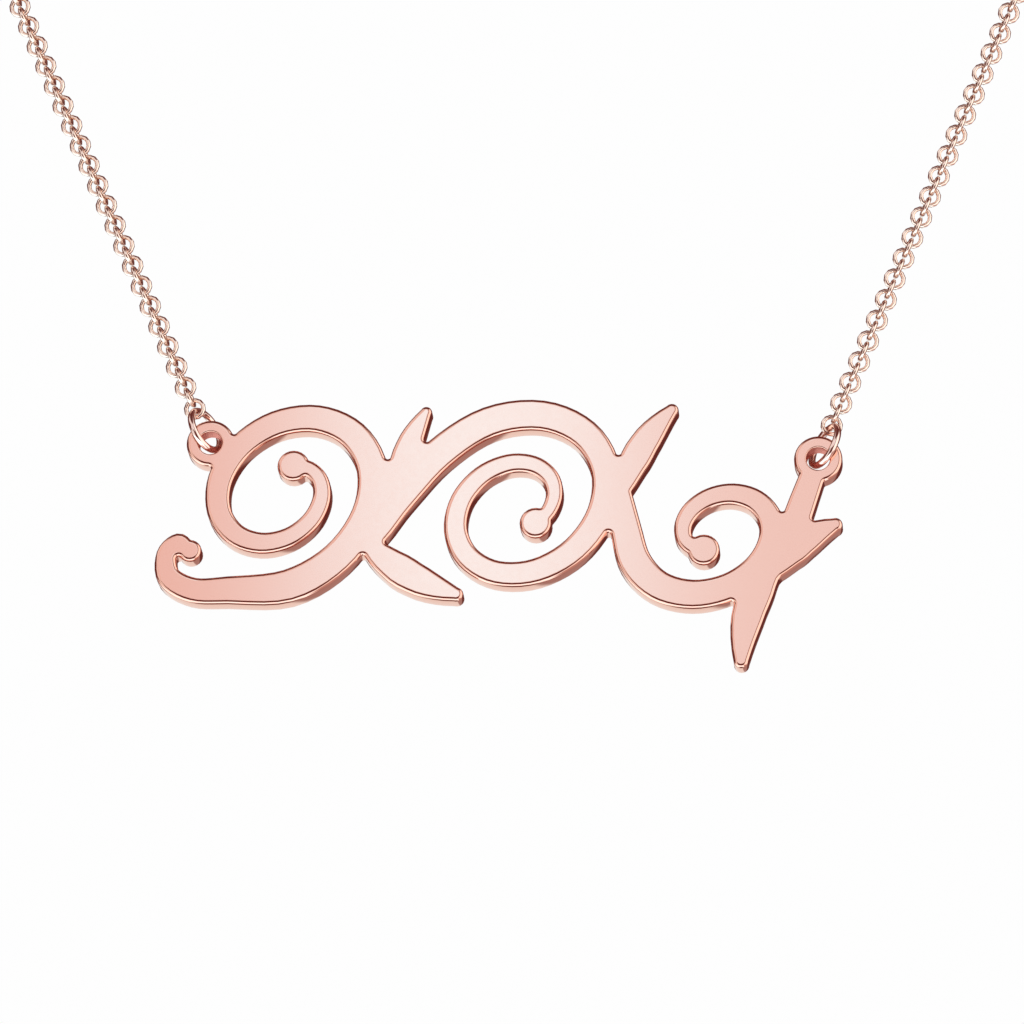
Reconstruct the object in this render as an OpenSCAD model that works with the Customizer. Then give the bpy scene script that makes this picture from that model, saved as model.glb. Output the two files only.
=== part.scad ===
// Nameplate necklace: a pierced plate of vine scrolls hung by two eyelets from a fine chain.
// Millimetres. +Z is up, the plate's front faces -Y, and the origin is at the nape of the neck.

/* [Nameplate] */
// Length of the plate, from the left curl to the tip of the right leaf
plate_len = 37.7; // [34:0.1:42]
// Height of the band of scrolls, without the tail leaf
plate_h = 11.6; // [10.4:0.1:12.8]
// Thickness of the plate
plate_t = 1.15; // [0.9:0.05:1.4]
// Widest stroke of the scrolls
stroke_w = 1.9; // [1.6:0.05:2.1]
// Radius left in the inner corners between strokes
corner_r = 0.15; // [0.08:0.01:0.2]
// How far the top of the plate leans back from upright, in degrees
lean = 18; // [10:1:24]

/* [Eyelets] */
// Outer diameter of an eyelet
eyelet_d = 2.65; // [2.4:0.05:3]
// Diameter of the hole through an eyelet
hole_d = 1.3; // [1.2:0.05:1.5]

/* [Jump rings] */
// Thickness of the jump rings' wire
ring_wire = 0.4; // [0.3:0.02:0.46]
// Spare width in a jump ring's opening beyond the rim that it goes round
ring_ease = 0.7; // [0.64:0.02:1]
// Tilt of a front jump ring from upright, in degrees
ring_tilt = 30; // [26:1:36]
// Turn of a front jump ring from edge-on to the front, in degrees
ring_turn = 22; // [10:1:24]

/* [Chain] */
// Outer diameter of a round chain link
link_d = 1.27; // [1.22:0.01:1.34]
// Thickness of the links' wire
link_wire = 0.26; // [0.22:0.01:0.28]
// Depth from the nape forward to the plate's eyelets
reach = 100.2; // [94:0.1:106]
// Drop from the nape down to the plate's eyelets
drop = 109.4; // [100:0.2:120]
// How far the plate hangs to the right of the neck's middle
sway = 1.6; // [0:0.1:3]

/* [Clasp] */
// Outer diameter of the clasp's ring
clasp_d = 6.4; // [5.6:0.1:7.4]
// Thickness of the clasp's ring
clasp_wire = 1.2; // [1:0.05:1.4]
// Diameter of the clasp's fixed lug
lug_d = 1.9; // [1.8:0.05:2.2]
// Diameter of the hole through the lug
lug_hole_d = 1; // [0.9:0.05:1.1]
// Thickness of the lug
lug_t = 0.6; // [0.4:0.05:0.7]
// Diameter of the thumb stud on the clasp
stud_d = 0.7; // [0.5:0.05:0.9]
// Height of the thumb stud above the clasp's ring
stud_h = 0.7; // [0.4:0.1:1.2]

/* [Hidden] */

LEFT = -1;
RIGHT = 1;

// Clearance where one wire bears on another, and the overrun of a cut
play = 0.05;
// Facets of a full round, and of the small rounds at the strokes' ends
round_fn = 48;
bud_fn = 24;
// Points on each span of a smoothed scroll or route
scroll_steps = 5;
route_steps = 3;
// Sides of the chain's tube
tube_sides = 8;

// Ratio of plate length to scroll height at which the scrolls are round
round_ratio = 3.25;
// Forward slope of the scrolls, as a share of their height
slope = 0.18;
// Angle from one worked-out point of a scroll to the next, in degrees
scroll_turn = 30;

// Every place on the plate is a share of plate_len along it and of plate_h up it,
// and every width is a share of stroke_w.
ALONG = 0;
UP = 1;
WIDE = 2;

// Stem of the left scroll: the small curl at the plate's lower left, then the base line
left_stem = [
    // along, up, wide
    [0.047, 0.265, 0.38],
    [0.031, 0.300, 0.46],
    [0.014, 0.235, 0.58],
    [0.019, 0.120, 0.70],
    [0.055, 0.055, 0.76],
    [0.105, 0.055, 0.84]
];
// Stem of the middle scroll, growing from the left one over the crest
middle_stem = [
    [0.268, 0.270, 0.42],
    [0.311, 0.318, 0.78],
    [0.350, 0.510, 0.99]
];
// Stem of the right scroll, growing from the middle one down to the base line
right_stem = [
    [0.655, 0.710, 0.40],
    [0.669, 0.560, 0.75],
    [0.683, 0.360, 0.90]
];
// Stem that carries the right eyelet
eyelet_stem = [
    [0.806, 0.065, 0.55],
    [0.870, 0.095, 0.78],
    [0.914, 0.270, 0.87],
    [0.940, 0.500, 0.81],
    [0.961, 0.705, 0.70]
];

// Centres of the scrolls: along, up, and the scroll's height as a share of a round one's
left_centre = [0.181, 0.54, 1.0];
middle_centre = [0.5255, 0.47, 0.98];
right_centre = [0.8117, 0.34, 0.9];
// Outer and inner end of each scroll: radius as a share of plate_h, angle in degrees, wide
left_winding = [[0.480, -75, 1.01], [0.135, 440, 0.44]];
middle_winding = [[0.505, 148, 0.99], [0.130, -400, 0.44]];
right_winding = [[0.380, 205, 0.96], [0.100, 610, 0.41]];

leaves = [
    // root, tip, bend as a share of the length, widest
    [[0.893, 0.120], [0.987, 0.380], 0.18, 0.99],
    [[0.914, 0.285], [0.853, -0.290], -0.16, 1.04],
    [[0.302, 0.300], [0.438, 0.035], -0.13, 1.02],
    [[0.347, 0.510], [0.388, 0.940], 0.12, 0.81],
    [[0.674, 0.510], [0.747, 0.950], 0.14, 0.93]
];
// Width of a leaf along its length, as a share of its widest
leaf_shape = [
    // share of the length, share of the width
    [0, 0.42],
    [0.2, 0.78],
    [0.45, 1],
    [0.7, 0.88],
    [0.88, 0.64],
    [1, 0.42]
];
leaf_steps = 12;

// Round bud in the left curl, and the diameter of the buds in the scrolls
left_bud = [0.0485, 0.250, 0.66];
bud_share = 0.93;

// Centres of the eyelets
left_eyelet = [0.073, 0.785];
right_eyelet = [0.961, 0.705];

// Half of the worn chain from the shoulder of the neck round to the nape, on the right
neck_route = [
    [46.25, -79, -42.8],
    [51, -72.2, -26.9],
    [54.6, -60.5, -14],
    [55.2, -45.5, -6],
    [51.5, -29.5, -2],
    [42.5, -15.5, -0.5],
    [30, -6.3, 0],
    [16.5, -1.3, 0]
];
// Straight spans of the route from the plate up to the shoulder
arm_spans = 4;
// The flat links face away from this point of the neck's middle, but less to the side by this
// share, as they lie on the chest in front
neck_middle_y = -20;
side_share = 0.3;

rim_w = (eyelet_d - hole_d) / 2;
ring_bore = norm([rim_w, plate_t]) + ring_ease;
ring_mid_r = (ring_bore + ring_wire) / 2;
// Share of the rim's width at which a front ring's centre hangs
ring_seat = 0.45;
// Lean of the line from an eyelet to its ring's centre, in degrees
ring_side = 21;
// Way round a front ring from its top to the link that hangs on it, towards its far side
left_link_round = 6;
right_link_round = 32;
link_mid_r = (link_d - link_wire) / 2;
link_bore_r = link_mid_r - link_wire / 2;
clasp_mid_r = (clasp_d - clasp_wire) / 2;

plate_up = [0, sin(lean), cos(lean)];
hang = [sway, -reach, -drop];
eyelet_middle = (place(left_eyelet) + place(right_eyelet)) / 2;

function unit(v) = v / norm(v);
function last(list) = list[len(list) - 1];
function along(a, b, share) = a + (b - a) * share;

// Place on the flat plate of a row of shares
function place(row) = [row[ALONG] * plate_len, row[UP] * plate_h];
// The same with its width, as a row of millimetres
function sized(row) = concat(place(row), row[WIDE] * stroke_w);
// Place in the necklace of a point on the middle of the plate's thickness
function on_plate(p) = hang + [p.x - eyelet_middle.x, 0, 0] + (p.y - eyelet_middle.y) * plate_up;

// Smooth curve through rows of numbers, with the row before and after each span
function curve_at(a, b, c, d, t) =
    (2 * b + (c - a) * t + (2 * a - 5 * b + 4 * c - d) * t * t
        + (3 * b - a - 3 * c + d) * t * t * t) / 2;
function curve(rows, before, after, steps) =
    let (all = concat([before], rows, [after]))
    concat([
        for (i = [1 : len(all) - 3], k = [0 : steps - 1])
            curve_at(all[i - 1], all[i], all[i + 1], all[i + 2], k / steps)
    ], [last(rows)]);
function stroke_line(rows) =
    let (n = len(rows))
    curve(rows, 2 * rows[0] - rows[1], 2 * rows[n - 1] - rows[n - 2], scroll_steps);

// Rows of millimetres along a scroll that winds in evenly
function scroll_rows(centre, winding) =
    let (
        steps = round(abs(winding[1].y - winding[0].y) / scroll_turn),
        spread = plate_len / round_ratio
    )
    [for (k = [0 : steps])
        let (
            row = along(winding[0], winding[1], k / steps),
            r = row[0],
            angle = row[1],
            wide = row[2],
            up = r * sin(angle) * centre.z
        )
        [
            centre.x * plate_len + (r * cos(angle) + slope * up) * spread,
            (centre.y + up) * plate_h,
            wide * stroke_w
        ]
    ];

// Rows of millimetres along a leaf, whose line bends to one side
function leaf_rows(leaf) =
    let (
        root = place(leaf[0]),
        tip = place(leaf[1]),
        bend = leaf[2],
        widest = leaf[3] * stroke_w,
        run = tip - root,
        bow = (root + tip) / 2 + [-run.y, run.x] * bend
    )
    [for (k = [0 : leaf_steps])
        let (t = k / leaf_steps, p = along(along(root, bow, t), along(bow, tip, t), t))
        [p.x, p.y, widest * lookup(t, leaf_shape)]
    ];

// One edge of a stroke, at half its width from its line
function edge(line, side) = [
    for (i = [0 : len(line) - 1])
        let (run = line[min(i + 1, len(line) - 1)] - line[max(i - 1, 0)])
        [line[i].x, line[i].y] + side * unit([-run.y, run.x]) * line[i].z / 2
];
function backwards(list) = [for (i = [len(list) - 1 : -1 : 0]) list[i]];

// Directions of a front jump ring: down its length, and across its turned face
function ring_down(side) = [-side * sin(ring_tilt), 0, -cos(ring_tilt)];
function ring_across(side) =
    sin(ring_turn) * [side * cos(ring_tilt), 0, -sin(ring_tilt)] + cos(ring_turn) * [0, -1, 0];
function ring_axis(side) = cross(ring_down(side), ring_across(side));
function eyelet(side) = place(side == LEFT ? left_eyelet : right_eyelet);
function ring_centre(side) =
    on_plate(eyelet(side) + (hole_d / 2 + ring_seat * rim_w) * [side * sin(ring_side), cos(ring_side)]);
// Middle of the ring's wire where its link hangs
function ring_hold(side) =
    let (round = side == LEFT ? left_link_round : right_link_round)
    ring_centre(side) - ring_mid_r * (cos(round) * ring_down(side) + sin(round) * ring_across(side));

// Share of its slack by which a link is drawn away from the middle of a ring's wire
link_drawn = 0.77;
link_lift = (link_bore_r - ring_wire / 2) * link_drawn;
// Distance from a link's centre to the end of the chain's tube
tube_start = link_d / 2 + play;

function mirrored(p, side) = [side * p.x, p.y, p.z];
function shoulder(side) = mirrored(neck_route[0], side);
function pull(side) = unit(shoulder(side) - ring_hold(side));
function front_link(side) = ring_hold(side) + link_lift * pull(side);

// Across the clasp: where its lug, each clasp ring and each back link sits along X
lug_sunk = clasp_wire * 0.3;
lug_x = -(clasp_d / 2 + lug_d / 2 - lug_sunk);
stud_angle = 50;
// Bow of a ring's wire over the thickness of the lug
ring_bow = ring_mid_r - sqrt(pow(ring_mid_r, 2) - pow(lug_t / 2, 2));
clasp_ring_left_x = lug_x - lug_hole_d / 2 + ring_wire / 2 + play + ring_bow - ring_mid_r;
clasp_ring_right_x = clasp_mid_r - clasp_wire / 2 - play - ring_wire / 2 + ring_mid_r;
function clasp_ring_x(side) = side == LEFT ? clasp_ring_left_x : clasp_ring_right_x;
function back_link(side) = [clasp_ring_x(side) + side * (ring_mid_r + link_lift), 0, 0];

// The chain's middle line from its front end to its back end
function chain_line(side) =
    let (
        start = front_link(side) + tube_start * pull(side),
        finish = back_link(side) + [side * tube_start, 0, 0],
        arm = [for (k = [0 : arm_spans - 1]) along(start, shoulder(side), k / arm_spans)],
        neck = [for (p = neck_route) mirrored(p, side)],
        rows = concat(arm, neck, [finish])
    )
    curve(rows, 2 * rows[0] - rows[1], mirrored(last(neck), -1), route_steps);

// Direction square to the chain that the flat links face
function outward(p, run) =
    let (out = [side_share * p.x, p.y - neck_middle_y, 0])
    unit(out - (out * run) * run);

module stroke(line) {
    polygon(concat(edge(line, 1), backwards(edge(line, -1))));
    for (end = [line[0], last(line)])
        translate([end.x, end.y]) circle(d = end.z, $fn = bud_fn);
}

module scroll(stem, centre, winding) {
    line = stroke_line(concat([for (row = stem) sized(row)], scroll_rows(centre, winding)));
    stroke(line);
    translate([last(line).x, last(line).y]) circle(d = bud_share * stroke_w, $fn = bud_fn);
}

module plate_outline() {
    scroll(left_stem, left_centre, left_winding);
    scroll(middle_stem, middle_centre, middle_winding);
    scroll(right_stem, right_centre, right_winding);
    stroke(stroke_line([for (row = eyelet_stem) sized(row)]));
    for (leaf = leaves) stroke(leaf_rows(leaf));
    translate(place(left_bud)) circle(d = left_bud[WIDE] * stroke_w, $fn = bud_fn);
    for (side = [LEFT, RIGHT])
        translate(eyelet(side)) circle(d = eyelet_d, $fn = round_fn);
}

// Plate sawn from sheet, with small rounds in its inner corners and a hole in each eyelet
module nameplate() {
    color("rosybrown")
    translate(hang)
    rotate([90 - lean, 0, 0])
    translate([-eyelet_middle.x, -eyelet_middle.y, -plate_t / 2])
    difference() {
        linear_extrude(plate_t)
            offset(r = -corner_r, $fn = bud_fn)
            offset(delta = corner_r)
            plate_outline();
        for (side = [LEFT, RIGHT])
            translate([eyelet(side).x, eyelet(side).y, -play])
            cylinder(d = hole_d, h = plate_t + 2 * play, $fn = round_fn);
    }
}

// Ring of round wire, centred at p, that faces along axis
module wire_ring(p, axis, mid_r, wire) {
    face = unit(axis);
    translate(p)
    rotate([0, acos(face.z), atan2(face.y, face.x)])
    rotate_extrude($fn = round_fn)
    translate([mid_r, 0])
    circle(d = wire, $fn = round_fn);
}

// Closed ring through an eyelet, which carries the chain
module jump_ring(side) {
    color("lightpink") wire_ring(ring_centre(side), ring_axis(side), ring_mid_r, ring_wire);
}

// Last link of the chain, threaded on the jump ring
module front_link_ring(side) {
    color("peachpuff")
    wire_ring(front_link(side), outward(front_link(side), pull(side)), link_mid_r, link_wire);
}

// Outer form of one half of the chain, from its front link round to its back link
module chain(side) {
    line = chain_line(side);
    n = len(line);
    rings = [
        for (i = [0 : n - 1])
            let (
                run = unit(line[min(i + 1, n - 1)] - line[max(i - 1, 0)]),
                out = outward(line[i], run),
                across = cross(run, out)
            )
            for (k = [0 : tube_sides - 1])
                line[i] + link_d / 2 * (cos(360 * k / tube_sides) * out + sin(360 * k / tube_sides) * across)
    ];
    walls = [
        for (i = [0 : n - 2], k = [0 : tube_sides - 1])
            let (next = (k + 1) % tube_sides, low = i * tube_sides, high = low + tube_sides)
            [low + k, high + k, high + next, low + next]
    ];
    first_end = [for (k = [0 : tube_sides - 1]) k];
    last_end = [for (k = [tube_sides - 1 : -1 : 0]) (n - 1) * tube_sides + k];
    color("mistyrose") polyhedron(points = rings, faces = concat(walls, [first_end, last_end]));
}

// Last link at the nape, threaded on the clasp's ring
module back_link_ring(side) {
    color("peachpuff") wire_ring(back_link(side), [0, 1, 0], link_mid_r, link_wire);
}

// Closed ring that joins the chain to the clasp
module clasp_ring(side) {
    color("lightpink") wire_ring([clasp_ring_x(side), 0, 0], [0, 0, 1], ring_mid_r, ring_wire);
}

// Ring clasp with a drilled lug on one side and a thumb stud, as one closed piece
module clasp() {
    color("lightpink") {
        wire_ring([0, 0, 0], [0, 1, 0], clasp_mid_r, clasp_wire);
        rotate([0, 90 - stud_angle, 0])
            translate([0, 0, clasp_mid_r])
            cylinder(d = stud_d, h = clasp_wire / 2 + stud_h, $fn = round_fn);
        translate([lug_x, lug_t / 2, 0])
            rotate([90, 0, 0])
            difference() {
                cylinder(d = lug_d, h = lug_t, $fn = round_fn);
                translate([0, 0, -play]) cylinder(d = lug_hole_d, h = lug_t + 2 * play, $fn = round_fn);
            }
    }
}

nameplate();
jump_ring(LEFT);  // jump_ring_left
jump_ring(RIGHT);  // jump_ring_right
front_link_ring(LEFT);  // front_link_left
front_link_ring(RIGHT);  // front_link_right
chain(LEFT);  // chain_left
chain(RIGHT);  // chain_right
back_link_ring(LEFT);  // back_link_left
back_link_ring(RIGHT);  // back_link_right
clasp_ring(LEFT);  // clasp_ring_left
clasp_ring(RIGHT);  // clasp_ring_right
clasp();
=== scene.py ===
"""Rose gold nameplate necklace: a pierced plate of vine scrolls on a fine chain of round links."""

import math

import bmesh
import bpy
from mathutils import Matrix, Vector


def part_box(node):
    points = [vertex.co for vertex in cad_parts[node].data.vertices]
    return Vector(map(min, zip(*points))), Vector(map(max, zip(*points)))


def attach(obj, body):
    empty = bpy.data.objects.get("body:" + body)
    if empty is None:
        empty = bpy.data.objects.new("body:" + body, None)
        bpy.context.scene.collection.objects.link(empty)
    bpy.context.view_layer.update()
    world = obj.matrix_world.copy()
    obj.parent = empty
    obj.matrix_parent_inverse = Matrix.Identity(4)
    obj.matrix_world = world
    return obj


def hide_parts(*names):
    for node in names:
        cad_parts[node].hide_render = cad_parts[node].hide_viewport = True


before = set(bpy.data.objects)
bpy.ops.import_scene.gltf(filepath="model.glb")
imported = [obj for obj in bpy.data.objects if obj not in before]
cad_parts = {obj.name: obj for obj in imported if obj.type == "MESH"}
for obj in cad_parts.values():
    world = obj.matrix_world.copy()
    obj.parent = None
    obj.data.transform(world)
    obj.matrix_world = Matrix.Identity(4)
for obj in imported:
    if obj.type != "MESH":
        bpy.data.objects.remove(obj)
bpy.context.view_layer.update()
MM = 0.001

# Nameplate: a band of vine scrolls sawn from thick rose gold sheet, with an eyelet at each end.
# Polishing has rounded its front edges over, and its back edges a little less.
LEAN = math.radians(18)
PLATE_FRONT = Vector((0, -math.cos(LEAN), math.sin(LEAN)))
FRONT_ROUND = 0.2 * MM
BACK_ROUND = 0.09 * MM
# The drilled rims of the eyelets are rounded less, as the wheel doesn't reach into them
HOLE_ROUND = 0.08 * MM
ROUND_STEPS = 5
EYELETS = [Vector((-15.14, -100.06, -108.96)) * MM, Vector((18.34, -100.34, -109.84)) * MM]
# Every point of an eyelet's hole lies within this of its middle
HOLE_REACH = 1 * MM
HOLE_WALL_R = 0.7 * MM
# The normal of a hole's wall leans out of the plate's plane by less than this share
WALL_LEAN = 0.1
# Width of the flat rim inside each rounded edge, which keeps the faces' shading flat
RIM = 0.02 * MM
# Points of the sawn outline that lie closer than this are one point
SAW_STEP = 0.02 * MM
FLAT = math.radians(1)

plate = bmesh.new()
plate.from_mesh(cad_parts["nameplate"].data)
bmesh.ops.remove_doubles(plate, verts=plate.verts, dist=SAW_STEP)
bmesh.ops.dissolve_limit(plate, angle_limit=FLAT, verts=plate.verts, edges=plate.edges)


def flat_faces(way_out):
    return [face for face in plate.faces if face.normal.dot(way_out) > math.cos(FLAT)]


def of_a_hole(edge):
    return any((edge.verts[0].co - eyelet).length < HOLE_REACH for eyelet in EYELETS)


for way_out, rounding in ((PLATE_FRONT, FRONT_ROUND), (-PLATE_FRONT, BACK_ROUND)):
    for holes, width in ((False, rounding), (True, HOLE_ROUND)):
        faces = set(flat_faces(way_out))
        sharp = [
            edge for edge in plate.edges
            if len(faces.intersection(edge.link_faces)) == 1 and of_a_hole(edge) == holes
        ]
        bmesh.ops.bevel(
            plate, geom=sharp, offset=width, offset_type="OFFSET", segments=ROUND_STEPS,
            profile=0.5, affect="EDGES", material=-1,
        )
    bmesh.ops.inset_region(plate, faces=flat_faces(way_out), thickness=RIM, use_even_offset=True)

# The wheel leaves swirls, across which the gloss and the depth of colour change by these shares
GLOSS_CHANGE = 0.07
COLOUR_CHANGE = 0.02
SWIRL_DETAIL = 4
SWIRL_BEND = 1.5
# The gloss changes between these values of the swirls' noise
SWIRL_LOW = 0.3
SWIRL_HIGH = 0.7
SWELL_DETAIL = 1


def polish_group():
    """Marks that a polishing wheel leaves: soft swells, fine swirls and a slight change of colour."""
    group = bpy.data.node_groups.new("wheel_polish", "ShaderNodeTree")
    for name, kind in (
        ("Metal", "NodeSocketColor"), ("Gloss", "NodeSocketFloat"), ("Swell Scale", "NodeSocketFloat"),
        ("Swell Depth", "NodeSocketFloat"), ("Swirl Scale", "NodeSocketFloat"),
    ):
        group.interface.new_socket(name, in_out="INPUT", socket_type=kind)
    for name, kind in (
        ("Color", "NodeSocketColor"), ("Roughness", "NodeSocketFloat"), ("Normal", "NodeSocketVector"),
    ):
        group.interface.new_socket(name, in_out="OUTPUT", socket_type=kind)
    node, connect = group.nodes.new, group.links.new
    given, result = node("NodeGroupInput"), node("NodeGroupOutput")
    place = node("ShaderNodeTexCoord")

    swirl = node("ShaderNodeTexNoise")
    swirl.inputs["Detail"].default_value = SWIRL_DETAIL
    swirl.inputs["Distortion"].default_value = SWIRL_BEND
    connect(place.outputs["Object"], swirl.inputs["Vector"])
    connect(given.outputs["Swirl Scale"], swirl.inputs["Scale"])

    def about_one(change, low, high):
        """A factor that goes from 1 less the change to 1 more, between two values of the swirls."""
        factor = node("ShaderNodeMapRange")
        factor.inputs["From Min"].default_value = low
        factor.inputs["From Max"].default_value = high
        factor.inputs["To Min"].default_value = 1 - change
        factor.inputs["To Max"].default_value = 1 + change
        connect(swirl.outputs["Fac"], factor.inputs["Value"])
        return factor.outputs["Result"]

    gloss = node("ShaderNodeMath")
    gloss.operation = "MULTIPLY"
    connect(given.outputs["Gloss"], gloss.inputs[0])
    connect(about_one(GLOSS_CHANGE, SWIRL_LOW, SWIRL_HIGH), gloss.inputs[1])
    connect(gloss.outputs["Value"], result.inputs["Roughness"])

    colour = node("ShaderNodeHueSaturation")
    connect(about_one(COLOUR_CHANGE, 0, 1), colour.inputs["Saturation"])
    connect(given.outputs["Metal"], colour.inputs["Color"])
    connect(colour.outputs["Color"], result.inputs["Color"])

    swell = node("ShaderNodeTexNoise")
    swell.inputs["Detail"].default_value = SWELL_DETAIL
    connect(place.outputs["Object"], swell.inputs["Vector"])
    connect(given.outputs["Swell Scale"], swell.inputs["Scale"])
    bump = node("ShaderNodeBump")
    bump.inputs["Strength"].default_value = 1
    connect(given.outputs["Swell Depth"], bump.inputs["Distance"])
    connect(swell.outputs["Fac"], bump.inputs["Height"])
    connect(bump.outputs["Normal"], result.inputs["Normal"])
    return group


WHEEL_POLISH = polish_group()


def rose_gold(name, metal, gloss, swell_scale, swell_depth, swirl_scale):
    """Rose gold with a wheel's polish. Scales are marks to the metre, and the depth is in metres."""
    material = bpy.data.materials.new(name)
    material.use_nodes = True
    tree = material.node_tree
    shader = tree.nodes["Principled BSDF"]
    shader.inputs["Metallic"].default_value = 1
    polish = tree.nodes.new("ShaderNodeGroup")
    polish.node_tree = WHEEL_POLISH
    polish.inputs["Metal"].default_value = (*metal, 1)
    polish.inputs["Gloss"].default_value = gloss
    polish.inputs["Swell Scale"].default_value = swell_scale
    polish.inputs["Swell Depth"].default_value = swell_depth
    polish.inputs["Swirl Scale"].default_value = swirl_scale
    tree.links.new(polish.outputs["Color"], shader.inputs["Base Color"])
    tree.links.new(polish.outputs["Roughness"], shader.inputs["Roughness"])
    tree.links.new(polish.outputs["Normal"], shader.inputs["Normal"])
    return material


def finished(piece, name, material, slot, *nodes):
    """A new object from a bmesh, which rides with the necklace and stands for those nodes."""
    mesh = bpy.data.meshes.new(name)
    piece.to_mesh(mesh)
    piece.free()
    mesh.shade_smooth()
    mesh.materials.append(material)
    made = bpy.data.objects.new(name, mesh)
    bpy.context.collection.objects.link(made)
    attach(made, "root")
    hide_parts(*nodes)
    return made


plate_gold = rose_gold(
    "plate_gold", metal=(0.93, 0.53, 0.42), gloss=0.08,
    swell_scale=120, swell_depth=0.0005 * MM, swirl_scale=2500,
)
nameplate = finished(plate, "nameplate_polished", plate_gold, "plate_metal", "nameplate")

# The walls of the eyelets' drilled holes stay dull. Their redder colour, redder still where they are
# seen on edge, is painted reflection of the ring and the far wall of the hole
HOLE_PAINTED_REFLECTION_TINT = (1, 0.62, 0.56, 1)
drilled_gold_painted_reflection = rose_gold(
    "drilled_gold_painted_reflection", metal=(0.98, 0.5, 0.44), gloss=0.42,
    swell_scale=2000, swell_depth=0.01 * MM, swirl_scale=9000,
)
# The red edge tint is painted reflection of the ring and the hole's far wall
drilled_gold_painted_reflection.node_tree.nodes["Principled BSDF"].inputs["Specular Tint"].default_value = HOLE_PAINTED_REFLECTION_TINT
nameplate.data.materials.append(drilled_gold_painted_reflection)
for face in nameplate.data.polygons:
    for eyelet in EYELETS:
        inward = face.center - eyelet
        inward -= inward.dot(PLATE_FRONT) * PLATE_FRONT
        if inward.length < HOLE_WALL_R and abs(face.normal.dot(PLATE_FRONT)) < WALL_LEAN:
            face.material_index = 1

# Jump rings: closed rings of round rose gold wire. One goes through each eyelet of the plate
# and leans outwards with the pull of the chain.
RING_WIRE = 0.4 * MM
# How far a ring leans outwards, and how far it is turned from edge on as seen from in front
RING_TILT = math.radians(30)
RING_TURN = math.radians(22)
RING_STEPS = 64
WIRE_STEPS = 16
SIDES = (("left", -1), ("right", 1))

# The four rings are alike, and those of the clasp lie flat, so the box of one gives their size
low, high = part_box("clasp_ring_right")
RING_MID_R = (high.y - low.y - RING_WIRE) / 2
ring_gold = rose_gold(
    "ring_gold", metal=(0.97, 0.72, 0.64), gloss=0.08,
    swell_scale=400, swell_depth=0.001 * MM, swirl_scale=4000,
)


def wire_ring(mid_r, wire, steps, wire_steps):
    """Ring of round wire about Z, as a new bmesh."""
    ring = bmesh.new()
    section = Matrix.Translation((mid_r, 0, 0)) @ Matrix.Rotation(math.pi / 2, 4, "X")
    bmesh.ops.create_circle(ring, segments=wire_steps, radius=wire / 2, matrix=section)
    bmesh.ops.spin(
        ring, geom=ring.verts[:] + ring.edges[:], cent=(0, 0, 0), axis=(0, 0, 1),
        angle=math.tau, steps=steps, use_merge=True,
    )
    bmesh.ops.recalc_face_normals(ring, faces=ring.faces)
    return ring


def middle(node):
    low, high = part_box(node)
    return (low + high) / 2


def ring_place(at, along, out):
    """Place of a ring at a point, with its X along a direction and its Z out of its face."""
    turned = Matrix((along, out.cross(along), out)).transposed().to_4x4()
    return Matrix.Translation(at) @ turned


for name, side in SIDES:
    down = Vector((-side * math.sin(RING_TILT), 0, -math.cos(RING_TILT)))
    sideways = Vector((side * math.cos(RING_TILT), 0, -math.sin(RING_TILT)))
    across = math.sin(RING_TURN) * sideways + math.cos(RING_TURN) * Vector((0, -1, 0))
    ring = wire_ring(RING_MID_R, RING_WIRE, RING_STEPS, WIRE_STEPS)
    ring.transform(ring_place(middle("jump_ring_" + name), down, down.cross(across)))
    finished(ring, "jump_ring_" + name + "_wire", ring_gold, "ring_metal", "jump_ring_" + name)

# Chain: round links of fine rose gold wire, each soldered shut through its two neighbours and
# turned a quarter from them. Two lengths of it run from the jump rings round to the clasp.
LINK_WIRE = 0.26 * MM
LINK_PITCH = 0.65 * MM
# A link that holds a ring is drawn further from its neighbour, which makes room for the ring
END_PITCH = 0.73 * MM
LINK_STEPS = 12
LINK_WIRE_STEPS = 6
# Gap between a link of the frame and the end of the tube that the chain takes the place of
TUBE_GAP = 0.05 * MM
# The straight arm up to the shoulder has this many spans, and every span this many short steps
ARM_SPANS = 4
SPAN_STEPS = 60
# Every other link faces away from the neck's middle, but less to the side, as on a chest
NECK_MIDDLE_Y = -20 * MM
SIDE_SHARE = 0.3
# Right half of the worn chain, from the shoulder of the neck round to the nape
NECK_ROUTE = [
    Vector(point) * MM
    for point in (
        (46.25, -79, -42.8),
        (51, -72.2, -26.9),
        (54.6, -60.5, -14),
        (55.2, -45.5, -6),
        (51.5, -29.5, -2),
        (42.5, -15.5, -0.5),
        (30, -6.3, 0),
        (16.5, -1.3, 0),
    )
]

low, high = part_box("back_link_right")
LINK_D = high.x - low.x
chain_gold = rose_gold(
    "chain_gold", metal=(1, 0.79, 0.68), gloss=0.14,
    swell_scale=900, swell_depth=0.001 * MM, swirl_scale=6000,
)


def smooth_line(rows, before, after):
    """Close points along the smooth curve through rows."""
    rows = [before, *rows, after]
    points = []
    for a, b, c, d in zip(rows, rows[1:], rows[2:], rows[3:]):
        for step in range(SPAN_STEPS):
            t = step / SPAN_STEPS
            points.append((
                2 * b + (c - a) * t + (2 * a - 5 * b + 4 * c - d) * t ** 2
                + (3 * b - a - 3 * c + d) * t ** 3
            ) / 2)
    return points + [rows[-2]]


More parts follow.
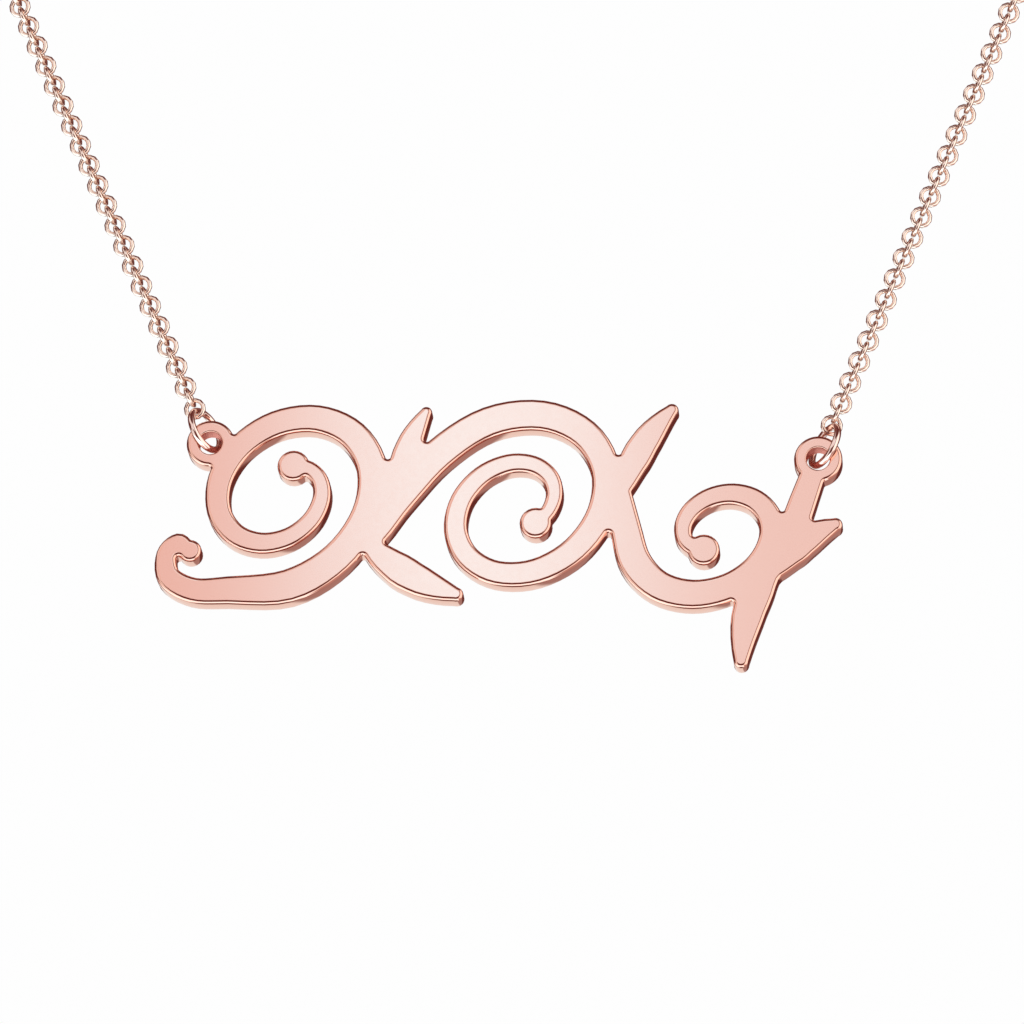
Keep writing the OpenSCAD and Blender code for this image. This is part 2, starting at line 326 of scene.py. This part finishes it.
def chain_line(name, side):
    """Middle line of one half of the chain, from its front link to its back link."""
    front, back = middle("front_link_" + name), middle("back_link_" + name)
    neck = [Vector((side * point.x, point.y, point.z)) for point in NECK_ROUTE]
    link_end = LINK_D / 2 + TUBE_GAP
    start = front + link_end * (neck[0] - front).normalized()
    finish = back + link_end * Vector((side, 0, 0))
    arm = [start.lerp(neck[0], span / ARM_SPANS) for span in range(ARM_SPANS)]
    rows = [*arm, *neck, finish]
    beyond = Vector((-neck[-1].x, neck[-1].y, neck[-1].z))
    return [front, *smooth_line(rows, 2 * rows[0] - rows[1], beyond), back]


def even_places(line):
    """Place and direction of every link along a line, with an even number of steps between."""
    lengths = [(b - a).length for a, b in zip(line, line[1:])]
    whole = sum(lengths)
    steps = 2 * round((whole - 2 * END_PITCH) / LINK_PITCH / 2)
    pitch = (whole - 2 * END_PITCH) / steps
    marks = [0, *(END_PITCH + step * pitch for step in range(steps + 1)), whole]
    places = []
    gone, at = 0, 0
    for mark in marks:
        while at < len(lengths) - 1 and gone + lengths[at] < mark:
            gone += lengths[at]
            at += 1
        run = (line[at + 1] - line[at]).normalized()
        places.append((line[at].lerp(line[at + 1], (mark - gone) / lengths[at]), run))
    return places


link = wire_ring((LINK_D - LINK_WIRE) / 2, LINK_WIRE, LINK_STEPS, LINK_WIRE_STEPS)
one_link = bpy.data.meshes.new("one_link")
for name, side in SIDES:
    chain = bmesh.new()
    for number, (at, run) in enumerate(even_places(chain_line(name, side))):
        out = Vector((SIDE_SHARE * at.x, at.y - NECK_MIDDLE_Y, 0))
        out = (out - out.dot(run) * run).normalized()
        if number % 2:
            out = run.cross(out)
        placed = link.copy()
        placed.transform(ring_place(at, run, out))
        placed.to_mesh(one_link)
        placed.free()
        chain.from_mesh(one_link)
    finished(
        chain, "chain_links_" + name, chain_gold, "chain_metal",
        "chain_" + name, "front_link_" + name, "back_link_" + name,
    )
link.free()
bpy.data.meshes.remove(one_link)

# Clasp rings: two more closed rings of the jump rings' wire, one on the last link of each half of
# the chain. The left one goes through the hole in the clasp's lug, the right one round its gate.
for name in ("clasp_ring_left", "clasp_ring_right"):
    ring = wire_ring(RING_MID_R, RING_WIRE, RING_STEPS, WIRE_STEPS)
    ring.transform(Matrix.Translation(middle(name)))
    finished(ring, name + "_wire", ring_gold, "ring_metal", name)

# Clasp: a spring ring of rose gold tube. A thinner gate closes its mouth, a thumb stud in a slot
# draws the gate back into the tube, and a drilled lug on the other side takes the chain's ring.
CLASP_WIRE = 1.2 * MM
GATE_WIRE = 1 * MM
# Angles from +X up to +Z: where the tube starts and ends at its mouth, and where the stud stands
TUBE_START = math.radians(34)
TUBE_END = math.radians(340)
STUD_ANGLE = math.radians(50)
# The gate runs on into both ends of the tube by this much
GATE_SUNK = math.radians(6)
SLOT_START = math.radians(44)
SLOT_END = math.radians(72)
SLOT_DEPTH = 0.12 * MM
SLOT_RIM = 0.03 * MM
# The slot is cut where the tube's outside stands out by more than this share of its radius
SLOT_SHARE = 0.95
TUBE_ROUND = 0.15 * MM
TUBE_STEPS = 76
TUBE_SIDES = 24
GATE_STEPS = 16
STUD_R = 0.35 * MM
STUD_OUT = 0.7 * MM
STUD_SUNK = 0.1 * MM
STUD_ROUND = 0.12 * MM
LUG_R = 0.95 * MM
LUG_HOLE_R = 0.5 * MM
LUG_T = 0.6 * MM
LUG_ROUND = 0.07 * MM
SHORT_STEPS = 3
SHARP = math.radians(60)

# The clasp stands upright round the origin, with its lug at its left end
low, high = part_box("clasp")
CLASP_MID_R = (-2 * low.z - CLASP_WIRE) / 2
LUG_X = low.x + LUG_R
STUD_FOOT = CLASP_MID_R + CLASP_WIRE / 2 - SLOT_DEPTH - STUD_SUNK
STUD_TOP = CLASP_MID_R + CLASP_WIRE / 2 + STUD_OUT
clasp_gold = rose_gold(
    "clasp_gold", metal=(0.95, 0.64, 0.53), gloss=0.1,
    swell_scale=300, swell_depth=0.002 * MM, swirl_scale=3000,
)


def bent_wire(wire, start, finish, steps):
    """Round wire bent about Y from one angle to another, closed at both ends, as a new bmesh."""
    bent = bmesh.new()
    section = Matrix.Rotation(-start, 4, "Y") @ Matrix.Translation((CLASP_MID_R, 0, 0))
    bmesh.ops.create_circle(bent, segments=TUBE_SIDES, radius=wire / 2, matrix=section)
    bmesh.ops.spin(
        bent, geom=bent.verts[:] + bent.edges[:], cent=(0, 0, 0), axis=(0, -1, 0),
        angle=finish - start, steps=steps,
    )
    bmesh.ops.holes_fill(bent, edges=[edge for edge in bent.edges if edge.is_boundary])
    bmesh.ops.recalc_face_normals(bent, faces=bent.faces)
    return bent


def rounded(shape, edges, width):
    bmesh.ops.bevel(
        shape, geom=edges, offset=width, offset_type="OFFSET", segments=SHORT_STEPS,
        profile=0.5, affect="EDGES", material=-1,
    )


tube = bent_wire(CLASP_WIRE, TUBE_START, TUBE_END, TUBE_STEPS)
slot = []
for face in tube.faces:
    at = face.calc_center_median()
    outward = math.hypot(at.x, at.z) - CLASP_MID_R
    if SLOT_START < math.atan2(at.z, at.x) < SLOT_END and outward > SLOT_SHARE * CLASP_WIRE / 2:
        slot.append(face)
bmesh.ops.inset_region(tube, faces=slot, thickness=SLOT_RIM, depth=-SLOT_DEPTH)
ends = [face for face in tube.faces if len(face.verts) == TUBE_SIDES]
rounded(tube, [edge for face in ends for edge in face.edges], TUBE_ROUND)
gate = bent_wire(GATE_WIRE, TUBE_END - GATE_SUNK - math.tau, TUBE_START + GATE_SUNK, GATE_STEPS)

stud = bmesh.new()
bmesh.ops.create_cone(
    stud, cap_ends=True, segments=TUBE_SIDES, radius1=STUD_R, radius2=STUD_R, depth=STUD_TOP - STUD_FOOT,
    matrix=Matrix.Translation((0, 0, (STUD_TOP + STUD_FOOT) / 2)),
)
stud_rim = [edge for edge in stud.edges if min(vert.co.z for vert in edge.verts) > STUD_TOP - STUD_SUNK]
rounded(stud, stud_rim, STUD_ROUND)
stud.transform(Matrix.Rotation(math.pi / 2 - STUD_ANGLE, 4, "Y"))

lug = bmesh.new()
for radius in (LUG_R, LUG_HOLE_R):
    bmesh.ops.create_circle(lug, segments=2 * TUBE_SIDES, radius=radius)
bmesh.ops.bridge_loops(lug, edges=lug.edges)
lifted = bmesh.ops.extrude_face_region(lug, geom=lug.faces[:])
raised = [item for item in lifted["geom"] if isinstance(item, bmesh.types.BMVert)]
bmesh.ops.translate(lug, verts=raised, vec=(0, 0, LUG_T))
bmesh.ops.recalc_face_normals(lug, faces=lug.faces)
rounded(lug, [edge for edge in lug.edges if edge.calc_face_angle() > SHARP], LUG_ROUND)
lug.transform(Matrix.Translation((LUG_X, LUG_T / 2, 0)) @ Matrix.Rotation(math.pi / 2, 4, "X"))

clasp_part = bpy.data.meshes.new("clasp_part")
for shape in (gate, stud, lug):
    shape.to_mesh(clasp_part)
    shape.free()
    tube.from_mesh(clasp_part)
bpy.data.meshes.remove(clasp_part)
finished(tube, "spring_ring", clasp_gold, "clasp_metal", "clasp")

# Studio: a plain pale floor under the hanging necklace, and a soft white tent round both that
# gives all the light. Cards and dark panels on the tent show in the polished metal.
FLOOR_Z = -0.35
FLOOR_R = 2.2
FLOOR_STEPS = 96
FLOOR_PAINT = (0.9, 0.9, 0.9, 1)
FLOOR_ROUGHNESS = 0.9
floor_shape = bmesh.new()
bmesh.ops.create_circle(floor_shape, cap_ends=True, segments=FLOOR_STEPS, radius=FLOOR_R)
floor_shape.transform(Matrix.Translation((0, 0, FLOOR_Z)))
floor_mesh = bpy.data.meshes.new("floor")
floor_shape.to_mesh(floor_mesh)
floor_shape.free()
floor = bpy.data.objects.new("floor", floor_mesh)
bpy.context.collection.objects.link(floor)
floor.visible_glossy = False
floor_paint = bpy.data.materials.new("floor_paint")
floor_paint.use_nodes = True
floor_shader = floor_paint.node_tree.nodes["Principled BSDF"]
floor_shader.inputs["Base Color"].default_value = FLOOR_PAINT
floor_shader.inputs["Roughness"].default_value = FLOOR_ROUGHNESS
floor_mesh.materials.append(floor_paint)

surround = bpy.data.worlds.new("surround")
surround.use_nodes = True
bpy.context.scene.world = surround
bpy.context.scene.view_settings.view_transform = "Standard"
tent = surround.node_tree
way = tent.nodes.new("ShaderNodeSeparateXYZ")
tent.links.new(tent.nodes.new("ShaderNodeTexCoord").outputs["Generated"], way.inputs["Vector"])


def both(one, other):
    product = tent.nodes.new("ShaderNodeMath")
    product.operation = "MULTIPLY"
    tent.links.new(one, product.inputs[0])
    tent.links.new(other, product.inputs[1])
    return product.outputs["Value"]


def between(axis, low, high, soft):
    """1 where a direction's share along an axis lies between two limits, with soft edges."""
    fades = []
    for limit, to_min, to_max in ((low, 0, 1), (high, 1, 0)):
        fade = tent.nodes.new("ShaderNodeMapRange")
        fade.interpolation_type = "SMOOTHSTEP"
        fade.inputs["From Min"].default_value = limit - soft
        fade.inputs["From Max"].default_value = limit + soft
        fade.inputs["To Min"].default_value = to_min
        fade.inputs["To Max"].default_value = to_max
        tent.links.new(way.outputs[axis], fade.inputs["Value"])
        fades.append(fade.outputs["Result"])
    return both(*fades)


def panel(under, colour, soft, **limits):
    """Lays a panel of a colour over the tent's light, within limits along X, Y and Z.

    A direction's share along an axis goes from -1 to 1, so a limit of 2 or -2 doesn't cut.
    """
    mask = None
    for axis, (low, high) in limits.items():
        stretch = between(axis, low, high, soft)
        mask = stretch if mask is None else both(mask, stretch)
    lay = tent.nodes.new("ShaderNodeMix")
    lay.data_type = "RGBA"
    tent.links.new(mask, lay.inputs["Factor"])
    tent.links.new(under, lay.inputs["A"])
    lay.inputs["B"].default_value = (*colour, 1)
    return lay.outputs["Result"]


WHITE = (0.93, 0.92, 0.91)
BROWN = (0.21, 0.08, 0.065)
BACK_TABLE = (0.9, 0.96, 0.95)
BACK_ROSE = (0.42, 0.28, 0.26)
TABLE = (1.5, 1.8, 1.9)
SIDE_CARD = (1.35, 1.35, 1.3)
ROSE_CARD = (0.55, 0.36, 0.33)
CARD = (0.89, 0.78, 0.79)
PALE_CARD = (0.93, 1.0, 1.08)
LAMP = (1.07, 1.68, 2.02)
DARK = (0.13, 0.035, 0.03)
cloth = tent.nodes.new("ShaderNodeRGB")
cloth.outputs["Color"].default_value = (*WHITE, 1)
light = cloth.outputs["Color"]
light = panel(light, BROWN, soft=0.15, Y=(0.2, 2))
light = panel(light, BACK_TABLE, soft=0.06, X=(-0.6, 0.14), Y=(0.3, 2), Z=(-0.75, -0.12))
light = panel(light, BACK_ROSE, soft=0.06, X=(0.14, 0.85), Y=(0.3, 2), Z=(-0.75, -0.3))
light = panel(light, TABLE, soft=0.08, X=(-2, 0.5), Y=(-2, 0.3), Z=(-0.93, -0.38))
light = panel(light, SIDE_CARD, soft=0.08, X=(0.5, 2), Y=(-2, 0.1), Z=(-0.45, 0.8))
light = panel(light, ROSE_CARD, soft=0.08, X=(0.5, 2), Y=(-2, 0.6), Z=(-2, -0.45))
light = panel(light, DARK, soft=0.06, X=(-2, -0.5), Y=(-0.5, 2), Z=(-0.1, 0.5))
light = panel(light, DARK, soft=0.05, X=(-0.5, 0.4), Y=(-2, -0.55), Z=(-0.4, 0.38))
light = panel(light, DARK, soft=0.06, Z=(0.84, 2))
light = panel(light, DARK, soft=0.05, X=(0.22, 0.4), Y=(-2, -0.5), Z=(0.3, 0.8))
light = panel(light, DARK, soft=0.08, X=(0.17, 0.85), Y=(0.3, 2), Z=(-0.3, 0.3))
light = panel(light, DARK, soft=0.05, Z=(-2, -0.94))
light = panel(light, CARD, soft=0.05, X=(-0.5, 0.18), Y=(-2, -0.5), Z=(0.5, 0.75))
light = panel(light, PALE_CARD, soft=0.012, X=(-0.045, 0.18), Y=(-2, -0.5), Z=(0.5, 0.75))
light = panel(light, LAMP, soft=0.014, X=(-0.095, -0.053), Y=(-2, -0.5), Z=(0.5, 0.75))
# The panels show in the polished metal alone: the camera and the floor see the plain white tent
PLAIN_TENT = (0.99, 0.99, 0.99, 1)
seen = tent.nodes.new("ShaderNodeMix")
seen.data_type = "RGBA"
seen.inputs["A"].default_value = PLAIN_TENT
tent.links.new(tent.nodes.new("ShaderNodeLightPath").outputs["Is Glossy Ray"], seen.inputs["Factor"])
tent.links.new(light, seen.inputs["B"])
tent.links.new(seen.outputs["Result"], tent.nodes["Background"].inputs["Color"])

# Camera: level with the plate and a little to its right, as in the photograph, whose upper edge
# cuts off the chain over the shoulders.
CAMERA_AWAY = 0.45
CAMERA_NEAR = 0.01
CAMERA_YAW = math.radians(4)
# Width of what the camera sees at the plate
VIEW_W = 56.3 * MM
SENSOR = 36
AIM = Vector((1.49, -100.2, -112.6)) * MM
camera_data = bpy.data.cameras.new("camera")
camera_data.sensor_width = SENSOR
camera_data.lens = SENSOR * CAMERA_AWAY / VIEW_W
camera_data.clip_start = CAMERA_NEAR
camera = bpy.data.objects.new("camera", camera_data)
bpy.context.collection.objects.link(camera)
back_off = Vector((math.sin(CAMERA_YAW), -math.cos(CAMERA_YAW), 0))
camera.location = AIM + CAMERA_AWAY * back_off
camera.rotation_euler = (math.pi / 2, 0, CAMERA_YAW)
bpy.context.scene.camera = camera
